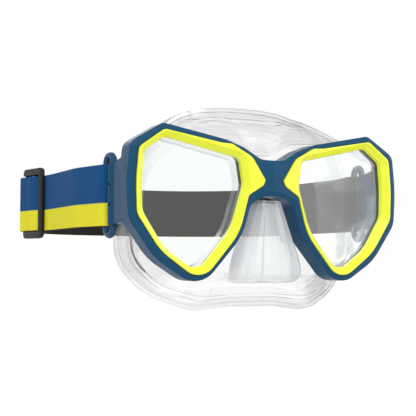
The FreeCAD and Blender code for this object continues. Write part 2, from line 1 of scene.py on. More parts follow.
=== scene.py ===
"""Looks of a two-lens snorkel mask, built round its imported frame.

The hard frame, lens rims, lenses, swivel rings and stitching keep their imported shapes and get
finishes. The clear skirt, the webbing strap and the sliders are modelled here in full.
"""

import logging
import math
from collections.abc import Iterator, Sequence
from contextlib import contextmanager
from dataclasses import dataclass, field
from enum import Enum
from functools import partial

import bmesh
import bpy
from mathutils import Matrix, Vector

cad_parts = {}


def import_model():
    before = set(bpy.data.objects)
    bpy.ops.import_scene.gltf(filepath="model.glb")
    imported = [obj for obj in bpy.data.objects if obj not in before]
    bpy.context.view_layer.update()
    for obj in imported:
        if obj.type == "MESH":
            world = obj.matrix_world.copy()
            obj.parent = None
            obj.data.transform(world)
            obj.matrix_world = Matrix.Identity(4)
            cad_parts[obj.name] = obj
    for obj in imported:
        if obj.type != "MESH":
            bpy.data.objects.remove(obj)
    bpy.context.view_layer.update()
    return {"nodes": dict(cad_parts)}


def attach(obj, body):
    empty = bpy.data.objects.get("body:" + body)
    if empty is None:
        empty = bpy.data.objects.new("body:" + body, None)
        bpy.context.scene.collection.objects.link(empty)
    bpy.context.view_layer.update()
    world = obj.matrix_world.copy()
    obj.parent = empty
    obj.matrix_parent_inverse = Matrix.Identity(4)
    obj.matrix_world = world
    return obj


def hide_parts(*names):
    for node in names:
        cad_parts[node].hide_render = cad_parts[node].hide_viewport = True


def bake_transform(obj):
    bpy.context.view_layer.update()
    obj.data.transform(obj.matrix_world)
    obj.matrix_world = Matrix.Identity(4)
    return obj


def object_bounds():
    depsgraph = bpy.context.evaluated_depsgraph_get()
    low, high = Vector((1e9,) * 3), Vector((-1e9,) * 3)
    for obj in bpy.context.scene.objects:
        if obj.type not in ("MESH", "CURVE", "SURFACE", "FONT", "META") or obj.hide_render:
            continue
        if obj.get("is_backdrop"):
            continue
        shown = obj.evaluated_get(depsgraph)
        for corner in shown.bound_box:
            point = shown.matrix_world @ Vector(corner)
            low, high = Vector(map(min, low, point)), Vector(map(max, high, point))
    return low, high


LOG = logging.getLogger("snorkel_mask")
MM = 0.001
ROOT_BODY = "root"

Point = tuple[float, float, float]
Corner = tuple[float, float, float]
Flat = tuple[float, float]


class Side(Enum):
    """Which side of the wearer a piece belongs to; the value is its sign along X."""

    LEFT = 1
    RIGHT = -1

    @property
    def word(self) -> str:
        """The side's name in lower case, as nodes and bodies use it."""
        return self.name.lower()


# ------------------------------------------------------------------ colours and nodes


def srgb(code: str) -> tuple[float, float, float, float]:
    """Turn an sRGB hex colour into linear RGBA.

    Args:
        code: Six hex digits.

    Returns:
        Linear red, green and blue, with full alpha.
    """
    linear = []
    for start in (0, 2, 4):
        value = int(code[start : start + 2], 16) / 255.0
        linear.append(value / 12.92 if value <= 0.04045 else ((value + 0.055) / 1.055) ** 2.4)
    return linear[0], linear[1], linear[2], 1.0


def add_node(
    tree: bpy.types.NodeTree,
    kind: str,
    inputs: dict[str | int, object] | None = None,
    **settings: object,
) -> bpy.types.Node:
    """Add a shader node with its settings and links.

    Args:
        tree: Node tree that takes the node.
        kind: Blender's type name of the node, without ShaderNode in front.
        inputs: By input name or number: a value, a socket, or a node for its first output.
        **settings: Attributes to set on the node itself.

    Returns:
        The new node.
    """
    node = tree.nodes.new("ShaderNode" + kind)
    for name, value in settings.items():
        setattr(node, name, value)
    for name, value in (inputs or {}).items():
        if isinstance(value, bpy.types.Node):
            value = value.outputs[0]
        if isinstance(value, bpy.types.NodeSocket):
            tree.links.new(value, node.inputs[name])
        else:
            node.inputs[name].default_value = value
    return node


def new_material(name: str) -> tuple[bpy.types.Material, bpy.types.NodeTree]:
    """Start an empty node material.

    Args:
        name: Name of the finish.

    Returns:
        The material and its node tree.
    """
    material = bpy.data.materials.new(name)
    material.use_nodes = True
    material.node_tree.nodes.clear()
    return material, material.node_tree


def outer_mirror(
    tree: bpy.types.NodeTree,
    index: float,
    outside: float,
    inside: float,
    normal: bpy.types.Node | None = None,
) -> bpy.types.Node:
    """How much a clear piece mirrors, by angle, as seen from outside and from within.

    Args:
        tree: Node tree of the finish.
        index: Refractive index.
        outside: Factor for faces seen from outside.
        inside: Factor for faces seen from within the wall.
        normal: Bump node, if the surface has one.

    Returns:
        Node that gives the mirrored share.
    """
    new = partial(add_node, tree)
    mirror = new("Fresnel", {"IOR": index} | ({"Normal": normal} if normal else {}))
    within = new("NewGeometry").outputs["Backfacing"]
    factor = new("MapRange", {"Value": within, "To Min": outside, "To Max": inside})
    return new("Math", {0: mirror, 1: factor}, operation="MULTIPLY", use_clamp=True)


def seen_directly(tree: bpy.types.NodeTree) -> bpy.types.Node:
    """Tell where the eye, a mirror or a clear piece shows a backdrop.

    Args:
        tree: Node tree of the backdrop's finish.

    Returns:
        Node that gives 1 there and 0 elsewhere.
    """
    new = partial(add_node, tree)
    path = new("LightPath").outputs
    seen = new("Math", {0: path["Is Camera Ray"], 1: path["Is Glossy Ray"]}, operation="MAXIMUM")
    return new("Math", {0: seen, 1: path["Is Transmission Ray"]}, operation="MAXIMUM")


@dataclass(frozen=True)
class MouldedPlastic:
    """Injection-moulded plastic: even colour, a fine tool grain, and softly rounded edges."""

    name: str
    colour: str
    deep_colour: str
    roughness: float
    specular: float
    coat: float
    grain_mm: float
    grain_depth: float
    edge_mm: float
    flow_mm: float = 15.0
    roughness_spread: float = 0.04
    grain_height_mm: float = 0.04
    coat_roughness: float = 0.12
    index: float = 1.49

    def build(self) -> bpy.types.Material:
        """Build the finish as a node material.

        Returns:
            The material.
        """
        material, tree = new_material(self.name)
        new = partial(add_node, tree)
        place = new("TexCoord").outputs["Object"]
        # Slow drifts of tone and gloss, as resin flow leaves them.
        flow = new(
            "TexNoise", {"Vector": place, "Scale": 1.0 / (self.flow_mm * MM), "Detail": 2.0}
        )
        tint = new(
            "Mix",
            {"Factor": flow, 6: srgb(self.deep_colour), 7: srgb(self.colour)},
            data_type="RGBA",
        )
        low, high = self.roughness - self.roughness_spread, self.roughness + self.roughness_spread
        gloss = new("MapRange", {"Value": flow, "To Min": low, "To Max": high})
        grain = new(
            "TexNoise", {"Vector": place, "Scale": 1.0 / (self.grain_mm * MM), "Detail": 3.0}
        )
        bump = new(
            "Bump",
            {
                "Height": grain,
                "Strength": self.grain_depth,
                "Distance": self.grain_height_mm * MM,
                "Normal": new("Bevel", {"Radius": self.edge_mm * MM}, samples=6),
            },
        )
        surface = new(
            "BsdfPrincipled",
            {
                "Base Color": tint.outputs[2],
                "Roughness": gloss,
                "Normal": bump,
                "IOR": self.index,
                "Specular IOR Level": self.specular,
                "Coat Weight": self.coat,
                "Coat Roughness": self.coat_roughness,
            },
        )
        new("OutputMaterial", {"Surface": surface})
        return material


@dataclass(frozen=True)
class TemperedGlass:
    """Flat float glass, tempered: nothing bends behind it, and it mirrors a little.

    The pane bends nothing, so its front face mirrors for both faces and the back one not at all.
    """

    name: str = "tempered_glass_polished"
    body: str = "FDFFFE"
    index: float = 1.52
    both_faces: float = 2.4
    roughness: float = 0.02

    def build(self) -> bpy.types.Material:
        """Build the finish as a node material.

        Returns:
            The material.
        """
        material, tree = new_material(self.name)
        new = partial(add_node, tree)
        clear = new("BsdfTransparent", {"Color": srgb(self.body)})
        gloss = new("BsdfGlossy", {"Roughness": self.roughness})
        mirror = outer_mirror(tree, self.index, self.both_faces, 0.0)
        new("OutputMaterial", {"Surface": new("MixShader", {0: mirror, 1: clear, 2: gloss})})
        return material


@dataclass(frozen=True)
class ClearSilicone:
    """Liquid silicone rubber, moulded clear.

    A wall that faces the eye is nearly colourless, with a trace of milkiness. A wall seen along
    its length goes dark grey: partly the longer way through the silicone, partly a painted
    reflection of dark surroundings along the outlines. The surface keeps a soft gloss.
    """

    name: str = "clear_silicone_moulded"
    face_on: str = "FEFEFE"
    # Dark grey painted on where a wall turns edge-on: a painted reflection of dark surroundings,
    # with a little of the real loss along the longer way through the wall.
    painted_edge_shade: str = "353D43"
    milk: str = "FAFCFE"
    milkiness: float = 0.02
    # How soon and how sharply the outlines go to that painted dark grey.
    absorption_and_edge_shade: float = 0.14
    steepness: float = 3.0
    inner_mirror: float = 0.16
    bending: float = 0.07
    roughness: float = 0.10
    index: float = 1.41
    wave_mm: float = 9.0
    wave_height_mm: float = 0.3
    least_cosine: float = 0.02

    def build(self) -> bpy.types.Material:
        """Build the finish as a node material.

        Returns:
            The material.
        """
        material, tree = new_material(self.name)
        new = partial(add_node, tree)
        # Very shallow waves, as a soft wall leaves the mould.
        waves = new(
            "TexNoise",
            {
                "Vector": new("TexCoord").outputs["Object"],
                "Scale": 1.0 / (self.wave_mm * MM),
                "Detail": 1.0,
            },
        )
        bump = new(
            "Bump", {"Height": waves, "Strength": 0.2, "Distance": self.wave_height_mm * MM}
        )
        # The way through the wall grows as one over the cosine. The tint darkens along it to a
        # dark grey at the outlines: partly light lost on that way, partly painted shade, a painted
        # reflection of dark surroundings.
        facing = new("LayerWeight", {"Blend": 0.5, "Normal": bump}).outputs["Facing"]
        cosine = new("MapRange", {"Value": facing, "To Min": 1.0, "To Max": self.least_cosine})
        way = new("Math", {0: self.absorption_and_edge_shade, 1: cosine}, operation="DIVIDE")
        held = new("Math", {0: way, 1: self.steepness}, operation="POWER")
        loss = new("Math", {0: held, 1: -1.0}, operation="MULTIPLY")
        kept = new("Math", {0: loss}, operation="EXPONENT")
        # kept is the share of the near-white face colour; the rest is the painted dark grey of the
        # outlines.
        tint = new(
            "Mix",
            {"Factor": kept, 6: srgb(self.painted_edge_shade), 7: srgb(self.face_on)},
            data_type="RGBA",
        ).outputs[2]
        straight = new("BsdfTransparent", {"Color": tint})
        bent = new(
            "BsdfRefraction",
            {"Color": tint, "Roughness": self.roughness, "IOR": self.index, "Normal": bump},
        )
        # Lamps shine straight through, so that the wall casts only a light shadow.
        shadow = new("LightPath").outputs["Is Shadow Ray"]
        bending = new("MapRange", {"Value": shadow, "To Min": self.bending, "To Max": 0.0})
        through = new("MixShader", {0: bending, 1: straight, 2: bent})
        milky = {"Color": srgb(self.milk), "Normal": bump}
        milk = new(
            "MixShader", {0: 0.5, 1: new("BsdfTranslucent", milky), 2: new("BsdfDiffuse", milky)}
        )
        body = new("MixShader", {0: self.milkiness, 1: through, 2: milk})
        gloss = new("BsdfGlossy", {"Roughness": self.roughness, "Normal": bump})
        mirror = outer_mirror(tree, self.index, 1.0, self.inner_mirror, bump)
        new("OutputMaterial", {"Surface": new("MixShader", {0: mirror, 1: body, 2: gloss})})
        return material


@dataclass(frozen=True)
class ElasticWebbing:
    """Woven elastic polyester: cords along it, picks across it, a dull thread sheen."""

    name: str
    ground: str
    ground_deep: str
    stripe: str | None = None
    stripe_share: float = 0.37
    stripe_blur: float = 0.008
    stripe_deep: Point = (0.82, 0.80, 0.7)
    cord_mm: float = 0.9
    pick_mm: float = 1.1
    width_mm: float = 30.0
    relief_mm: float = 0.12

    def build(self) -> bpy.types.Material:
        """Build the finish as a node material; UV is in strap widths, U across and V along.

        Returns:
            The material.
        """
        material, tree = new_material(self.name)
        new = partial(add_node, tree)
        flat = new("UVMap", uv_map="webbing")
        axes = new("SeparateXYZ", {0: flat})
        waves = []
        for axis, spacing in (("X", self.cord_mm), ("Y", self.pick_mm)):
            turns = 2.0 * math.pi * self.width_mm / spacing
            angle = new("Math", {0: axes.outputs[axis], 1: turns}, operation="MULTIPLY")
            waves.append(new("Math", {0: angle}, operation="SINE"))
        weave = new("Math", {0: waves[0], 1: waves[1]}, operation="MULTIPLY")
        shade = new("MapRange", {"Value": weave, "From Min": -1.0, "From Max": 1.0})
        # Loose fibres, a little over a millimetre apart.
        fuzz = new("TexNoise", {"Vector": flat, "Scale": 22.0, "Detail": 4.0})
        tone = new("Math", {0: shade, 1: fuzz}, operation="MULTIPLY")
        colour = new(
            "Mix",
            {"Factor": tone, 6: srgb(self.ground_deep), 7: srgb(self.ground)},
            data_type="RGBA",
        ).outputs[2]
        if self.stripe:
            colour = self._striped(tree, axes.outputs["X"], colour, tone)
        bump = new("Bump", {"Height": weave, "Strength": 0.5, "Distance": self.relief_mm * MM})
        surface = new(
            "BsdfPrincipled",
            {
                "Base Color": colour,
                "Roughness": 0.8,
                "Specular IOR Level": 0.12,
                "Sheen Weight": 0.03,
                "Sheen Roughness": 0.5,
                "Normal": bump,
            },
        )
        new("OutputMaterial", {"Surface": surface})
        return material

    def _striped(
        self,
        tree: bpy.types.NodeTree,
        across: bpy.types.NodeSocket,
        ground: bpy.types.NodeSocket,
        tone: bpy.types.Node,
    ) -> bpy.types.NodeSocket:
        """Weave the lower stripe in, with a narrow blur at its upper border.

        Args:
            tree: Node tree of the finish.
            across: U, from 0 at the lower edge to 1 at the upper edge.
            ground: Colour of the rest of the webbing.
            tone: Thread shading, 0 to 1.

        Returns:
            The colour with the stripe.
        """
        new = partial(add_node, tree)
        bright = srgb(self.stripe or self.ground)
        deep = (*(value * part for value, part in zip(bright, self.stripe_deep)), 1.0)
        threads = new("Mix", {"Factor": tone, 6: deep, 7: bright}, data_type="RGBA")
        above, below = self.stripe_share + self.stripe_blur, self.stripe_share - self.stripe_blur
        inside = new("MapRange", {"Value": across, "From Min": above, "From Max": below})
        return new(
            "Mix", {"Factor": inside, 6: ground, 7: threads.outputs[2]}, data_type="RGBA"
        ).outputs[2]


@dataclass(frozen=True)
class BondedThread:
    """Twisted bonded polyester thread: matt, with a slant of twist along it."""

    name: str = "bonded_thread_twisted"
    colour: str = "1F2327"
    twist_mm: float = 0.8

    def build(self) -> bpy.types.Material:
        """Build the finish as a node material.

        Returns:
            The material.
        """
        material, tree = new_material(self.name)
        new = partial(add_node, tree)
        twist = new(
            "TexWave",
            {
                "Vector": new("TexCoord").outputs["Object"],
                "Scale": 1.0 / (self.twist_mm * MM) / 6.28,
                "Distortion": 1.0,
            },
            bands_direction="DIAGONAL",
        ).outputs["Fac"]
        bump = new("Bump", {"Height": twist, "Strength": 0.6, "Distance": 0.1 * MM})
        surface = new(
            "BsdfPrincipled",
            {"Base Color": srgb(self.colour), "Roughness": 0.8, "Normal": bump},
        )
        new("OutputMaterial", {"Surface": surface})
        return material


# ------------------------------------------------------------------ modelling by hand


def deselect_all() -> None:
    """Leave nothing selected."""
    bpy.ops.object.select_all(action="DESELECT")


def pick(piece: bpy.types.Object) -> None:
    """Select one piece alone and make it the active one.

    Args:
        piece: The piece.
    """
    deselect_all()
    piece.select_set(True)
    bpy.context.view_layer.objects.active = piece


@contextmanager
def editing(piece: bpy.types.Object) -> Iterator[None]:
    """Hold one piece in edit mode.

    Args:
        piece: The mesh object to edit.

    Yields:
        Nothing; the piece is in edit mode meanwhile.
    """
    pick(piece)
    bpy.ops.object.mode_set(mode="EDIT")
    try:
        yield
    finally:
        bpy.ops.object.mode_set(mode="OBJECT")


def apply_modifiers(piece: bpy.types.Object) -> None:
    """Apply every modifier of a piece, first to last.

    Args:
        piece: The piece.
    """
    pick(piece)
    for modifier in list(piece.modifiers):
        bpy.ops.object.modifier_apply(modifier=modifier.name)


def combine(target: bpy.types.Object, tool: bpy.types.Object, how: str) -> None:
    """Join or cut one closed piece with another, which is used up.

    Args:
        target: The piece that is kept.
        tool: The piece that is joined on or cut away.
        how: UNION or DIFFERENCE.
    """
    boolean = target.modifiers.new("combine", "BOOLEAN")
    boolean.operation = how
    boolean.solver = "MANIFOLD"
    boolean.object = tool
    apply_modifiers(target)
    bpy.data.objects.remove(tool)


def bevel_modifier(
    piece: bpy.types.Object, name: str, width_mm: float, least_degrees: float
) -> None:
    """Round the sharp edges of a piece in three steps, as a modifier.

    Args:
        piece: The piece.
        name: The modifier's name.
        width_mm: Width of the rounding, in millimetres.
        least_degrees: Edges that turn less than this stay.
    """
    bevel = piece.modifiers.new(name, "BEVEL")
    bevel.width = width_mm * MM
    bevel.segments = 3
    bevel.limit_method = "ANGLE"
    bevel.angle_limit = math.radians(least_degrees)


def face_outwards(piece: bpy.types.Object) -> None:
    """Merge doubles and point every face of a closed piece outwards.

    Args:
        piece: The piece.
    """
    with editing(piece):
        bpy.ops.mesh.select_all(action="SELECT")
        bpy.ops.mesh.remove_doubles(threshold=0.001 * MM)
        bpy.ops.mesh.normals_make_consistent(inside=False)


def smooth(piece: bpy.types.Object, degrees: float) -> None:
    """Shade a piece smooth except across edges sharper than an angle."""
    pick(piece)
    bpy.ops.object.shade_smooth_by_angle(angle=math.radians(degrees))


def loft(
    name: str,
    rings: Sequence[Sequence[Vector]],
    split_front: bool = False,
    tube: bool = False,
) -> bpy.types.Object:
    """Lay a circle on the first ring and extrude it from ring to ring into a closed piece.

    Args:
        name: Name of the piece.
        rings: Rings of equal length, in metres.
        split_front: Fill the first ring as two flat halves that meet on the centre plane.
        tube: Join the last ring to the first instead of filling both.

    Returns:
        The closed piece.
    """
    deselect_all()
    around = len(rings[0])
    bpy.ops.mesh.primitive_circle_add(vertices=around, fill_type="NOTHING")
    piece = bpy.context.object
    piece.name = name
    piece.data.name = name
    for attribute, values in (("ring_order", list(range(around))), ("ring_number", [0] * around)):
        layer = piece.data.attributes.new(attribute, "INT", "POINT")
        layer.data.foreach_set("value", values)
    with editing(piece):
        bpy.ops.mesh.select_all(action="SELECT")
        for number, ring in enumerate(rings):
            if number:
                bpy.ops.mesh.extrude_edges_move()
            mesh = bmesh.from_edit_mesh(piece.data)
            order = mesh.verts.layers.int["ring_order"]
            count = mesh.verts.layers.int["ring_number"]
            for vert in mesh.verts:
                if vert.select:
                    vert.co = ring[vert[order]]
                    vert[count] = number
            bmesh.update_edit_mesh(piece.data)
        last = len(rings) - 1
        if tube:
            select_ring(piece, (0, last), None)
            bpy.ops.mesh.bridge_edge_loops()
        else:
            select_ring(piece, (last,), None)
            bpy.ops.mesh.edge_face_add()
            for side in (Side if split_front else (None,)):
                select_ring(piece, (0,), side)
                bpy.ops.mesh.edge_face_add()
    face_outwards(piece)
    return piece


def select_ring(
    piece: bpy.types.Object, numbers: Sequence[int], side: Side | None
) -> None:
    """Select the edges that run round some lofted rings, in edit mode.

    Args:
        piece: A piece made by loft, in edit mode.
        numbers: Ring numbers.
        side: Only this side of the centre plane, or both when None.
    """
    bpy.ops.mesh.select_all(action="DESELECT")
    mesh = bmesh.from_edit_mesh(piece.data)
    count = mesh.verts.layers.int["ring_number"]
    for edge in mesh.edges:
        rings = {vert[count] for vert in edge.verts}
        on_side = side is None or all(vert.co.x * side.value > -1e-7 for vert in edge.verts)
        if len(rings) == 1 and rings.issubset(numbers) and on_side:
            edge.select_set(True)
    bmesh.update_edit_mesh(piece.data)


def corner_arc(
    before: Sequence[float], corner: Corner, after: Sequence[float]
) -> tuple[Vector, Vector, Vector, float]:
    """Fit the arc of one rounded corner.

    Args:
        before: The corner before it.
        corner: Its two coordinates and radius.
        after: The corner after it.

    Returns:
        Where the arc starts and ends, its centre, and how far it turns in radians.
    """
    here, radius = Vector(corner[:2]), corner[2]
    back = (Vector(before[:2]) - here).normalized()
    onward = (Vector(after[:2]) - here).normalized()
    half = back.angle(onward) / 2.0
    reach = radius / math.tan(half)
    centre = here + (back + onward).normalized() * (radius / math.sin(half))
    return here + back * reach, here + onward * reach, centre, math.pi - 2.0 * half


def rounded(corners: Sequence[Corner], arc_steps: int = 5, line_steps: int = 3) -> list[Flat]:
    """Points round a closed shape whose corners are rounded.

    Args:
        corners: (x, z, radius) in millimetres, in order.
        arc_steps: Steps round each corner.
        line_steps: Steps along each side.

    Returns:
        arc_steps + line_steps points for each corner, in order.
    """
    count = len(corners)
    arcs = []
    for index, corner in enumerate(corners):
        start, end, centre, _ = corner_arc(
            corners[index - 1], corner, corners[(index + 1) % count]
        )
        arcs.append([
            centre + (start.lerp(end, step / arc_steps) - centre).normalized() * corner[2]
            for step in range(arc_steps + 1)
        ])
    points = []
    for index, arc in enumerate(arcs):
        points.extend(arc)
        following = arcs[(index + 1) % count][0]
        for step in range(1, line_steps):
            points.append(arc[-1].lerp(following, step / line_steps))
    return [(point.x, point.y) for point in points]


def inset(points: Sequence[Flat], distance: float) -> list[Flat]:
    """Move each point of a closed clockwise shape inwards.

    Args:
        points: (x, z) round the shape, clockwise seen from the front.
        distance: How far to move, in millimetres.

    Returns:
        The moved points.
    """
    count = len(points)
    moved = []
    for index in range(count):
        before = Vector(points[index - 1])
        after = Vector(points[(index + 1) % count])
        run = (after - before).normalized()
        moved.append((points[index][0] + run.y * distance, points[index][1] - run.x * distance))
    return moved


def mirrored_copy(piece: bpy.types.Object, name: str) -> bpy.types.Object:
    """Copy a finished piece to the other side of the centre plane, with its own mesh.

    Args:
        piece: The wearer's left-hand piece.
        name: Name of the copy.

    Returns:
        The right-hand piece.
    """
    copy = piece.copy()
    copy.data = piece.data.copy()
    copy.name = name
    copy.data.name = name
    bpy.context.scene.collection.objects.link(copy)
    copy.data.transform(Matrix.Scale(-1.0, 4, Vector((1.0, 0.0, 0.0))))
    copy.data.flip_normals()
    return copy


def dress(piece: bpy.types.Object, *materials: bpy.types.Material) -> None:
    """Give a piece its finishes.

    Args:
        piece: The piece.
        *materials: One finish for each material slot, in turn.
    """
    piece.data.materials.clear()
    for material in materials:
        piece.data.materials.append(material)


# ------------------------------------------------------------------ clear skirt


@dataclass
class Skirt:
    """Clear skirt: lens lips, tunnel, nose pocket, raised brow band and double face seal.

    Sizes are in millimetres. Shapes run clockwise seen from the front, as corners of
    (x, z, radius).
    """

    half_width: float = 72.0
    half_height: float = 34.0
    yaw_degrees: float = 3.0
    rim_plane: float = -34.0
    plate_front: float = 12.7
    plate_wall: float = 2.0
    wall: float = 1.9
    # The tunnel and the window are in shares of the rim's half width and half height.
    tunnel_shape: tuple[Corner, ...] = (
        (0.055, 0.475, 8.0), (0.250, 0.680, 8.0), (0.790, 0.740, 6.0), (0.962, 0.480, 8.0),
        (0.983, 0.020, 60.0), (0.972, -0.440, 12.0), (0.830, -0.950, 26.0),
        (0.560, -1.300, 14.0), (0.330, -1.280, 8.0), (0.150, -1.320, 8.0),
    )
    window_shape: tuple[Corner, ...] = (
        (0.250, 0.400, 3.5), (0.800, 0.656, 4.5), (0.939, 0.447, 4.5), (0.957, 0.020, 80.0),
        (0.950, -0.391, 9.0), (0.800, -0.888, 26.0), (0.560, -1.235, 7.5),
        (0.312, -0.618, 30.0), (0.221, 0.015, 12.0),
    )
    seal_shape: tuple[Corner, ...] = (
        (10.0, 42.9, 60.0), (24.0, 41.6, 45.0), (38.1, 37.2, 45.0), (56.0, 24.0, 35.0),
        (65.0, 8.0, 38.0), (66.5, -18.2, 60.0), (67.0, -36.0, 28.0), (55.0, -53.0, 28.0),
        (33.0, -61.8, 30.0), (12.9, -59.2, 40.0),
    )
    # How far back or forward the seal lies at the temple, brow and lip, and how far out that is.
    temple_back: Flat = (8.0, 66.0)
    brow_forward: Flat = (1.0, 42.0)
    lip_forward: Flat = (11.0, 58.0)
    most_forward: float = 13.0
    # Share of the way back and share of the way outwards, from the tunnel's front to the seal.
    rows: tuple[Flat, ...] = (
        (0.00, 0.00), (0.05, 0.01), (0.12, 0.06), (0.21, 0.17), (0.30, 0.33), (0.38, 0.48),
        (0.46, 0.62), (0.56, 0.76), (0.67, 0.87), (0.79, 0.95), (0.90, 0.99), (1.00, 1.00),
    )
    # The seal's rolled edge: how far inside the last row, and how far behind it.
    outer_edge: tuple[Flat, ...] = ((1.2, 1.3), (3.4, 2.3), (6.4, 2.7), (10.0, 2.7))
    inner_edge: tuple[Flat, ...] = ((2.1, -0.8), (3.0, 0.6), (6.2, 1.7), (9.6, 2.1))
    hollow_end: float = 35.0
    # The inner flap, round its section: row, how far inside the row, and how far behind it.
    flap: tuple[tuple[int, float, float], ...] = (
        (7, 1.0, 0.0), (9, 4.4, 0.0), (11, 9.0, -3.0), (11, 14.0, -2.2), (11, 14.4, -2.7),
        (11, 9.0, -3.9), (8, 4.4, 0.0), (6, 1.0, 0.0),
    )
    arc_steps: int = 5
    line_steps: int = 4
    # Outside the rim's window, and from how far to how far behind the rim's face.
    lip: Point = (1.9, 9.4, 13.2)
    view: Point = (-0.4, 8.0, 16.5)
    # Rows, and columns from the centre plane, of the brow band and of the pad on each cheek.
    bands: tuple[tuple[int, int, int, int], ...] = ((3, 6, 0, 17), (4, 7, 58, 78))
    band_proud: float = 0.9
    band_slope: float = 0.6
    # Nose pocket levels: height, half width, how far forward.
    nose_levels: tuple[Point, ...] = (
        (-6.5, 7.4, -33.0), (-14.0, 10.0, -33.9), (-24.0, 13.6, -35.0), (-34.0, 17.0, -36.0),
        (-40.0, 18.4, -36.4), (-43.0, 18.8, -35.8), (-45.3, 18.4, -33.6), (-46.6, 17.4, -30.5),
        (-47.0, 16.0, -27.0),
    )
    inside_top: Point = (-8.0, 7.4, -33.0)
    inside_floor: Point = (-45.5, 17.0, -30.5)
    # One side of a level: share of the half width, and how far behind the front.
    flutes: tuple[Flat, ...] = (
        (1.00, 9.0), (0.97, 4.6), (0.90, 1.9), (0.84, 1.1), (0.68, 2.0), (0.56, 0.0),
        (0.36, 0.3), (0.26, 1.9), (0.03, 2.6),
    )
    nose_wall: float = 1.5
    nose_back: float = -14.0
    inside_back: float = -10.0
    # Etched faces: spare width, spare height, and how far before the front wall they end.
    etched_spare: Point = (0.4, 0.2, 0.6)
    shade_degrees: float = 28.0

    def in_millimetres(self, shape: Sequence[Corner]) -> list[Corner]:
        """Turn corners given in shares of the rim into millimetres."""
        return [(x * self.half_width, z * self.half_height, radius) for x, z, radius in shape]

    def rim_start(self) -> Flat:
        """Where the rim's face would cross the centre plane, and its yaw in radians."""
        yaw = math.radians(self.yaw_degrees)
        return self.rim_plane - self.half_width * math.sin(yaw), yaw

    def front_level(self, x: float) -> float:
        """How far back the front wall's face lies at a distance from the centre plane."""
        start, yaw = self.rim_start()
        return start + self.plate_front / math.cos(yaw) + abs(x) * math.tan(yaw)

    def seal_level(self, x: float, z: float) -> float:
        """How far back the seal lies: furthest at the temples, least at the upper lip.

        Args:
            x: Distance from the centre plane, in millimetres.
            z: Height, in millimetres.

        Returns:
            The level, in millimetres.
        """
        temple = self.temple_back[0] * (x / self.temple_back[1]) ** 2
        if z > 0:
            drop = self.brow_forward[0] * (z / self.brow_forward[1]) ** 2
        else:
            drop = self.lip_forward[0] * (-z / self.lip_forward[1]) ** 6
        return temple - min(drop, self.most_forward)

    def outlines(self) -> tuple[list[Flat], list[Flat]]:
        """Round off the tunnel's front edge and the seal's outline, point for point.

        Returns:
            Both outlines, in millimetres.
        """
        tunnel, seal = (
            rounded(
                half + [(-x, z, radius) for x, z, radius in reversed(half)],
                self.arc_steps,
                self.line_steps,
            )
            for half in (self.in_millimetres(self.tunnel_shape), list(self.seal_shape))
        )
        return tunnel, seal

    def row(self, number: int, inwards: float = 0.0, back: float = 0.0) -> list[Vector]:
        """One row of the skirt's wall, in metres.

        Args:
            number: Row number, from the tunnel's front.
            inwards: How far inside the outer surface, in millimetres.
            back: How far behind the outer surface, in millimetres.

        Returns:
            The row's points.
        """
        depth, spread = self.rows[number]
        tunnel, seal = self.outlines()
        flat = [
            (a[0] + (b[0] - a[0]) * spread, a[1] + (b[1] - a[1]) * spread)
            for a, b in zip(tunnel, seal)
        ]
        levels = [
            self.front_level(a[0]) * (1.0 - depth) + self.seal_level(*b) * depth + back
            for a, b in zip(tunnel, seal)
        ]
        return [
            Vector((x, y, z)) * MM for (x, z), y in zip(inset(flat, inwards), levels)
        ]

    def lens_block(self, name: str, side: Side, sizes: Point) -> bpy.types.Object:
        """A closed block of one lens's outline, square to the lens.

        Args:
            name: Name of the block.
            side: Which lens.
            sizes: How far outside the rim's window, and from how far to how far behind the
                rim's face, in millimetres.

        Returns:
            The block.
        """
        outwards, *depths = sizes
        start, yaw = self.rim_start()
        outline = inset(rounded(self.in_millimetres(self.window_shape), 6, 3), -outwards)
        rings = []
        for depth in depths:
            ring = []
            for x, z in outline:
                across = x * math.cos(yaw) - depth * math.sin(yaw)
                level = start + x * math.sin(yaw) + depth * math.cos(yaw)
                ring.append(Vector((side.value * across, level, z)) * MM)
            rings.append(ring)
        return loft(name, rings)

    def nose_ring(self, level: Point, inwards: float, back: float) -> list[Vector]:
        """One level of the nose pocket, in metres.

        Args:
            level: Height, half width and front.
            inwards: How far inside the outer surface, in millimetres.
            back: How far back the level reaches, in millimetres.

        Returns:
            The level's points.
        """
        height, half, front = level
        side = [
            ((half - inwards) * share, front + inwards + behind)
            for share, behind in self.flutes
        ]
        side.insert(0, (half - inwards, back))
        points = side + [(-x, y) for x, y in reversed(side)]
        return [Vector((x, y, height)) * MM for x, y in points]

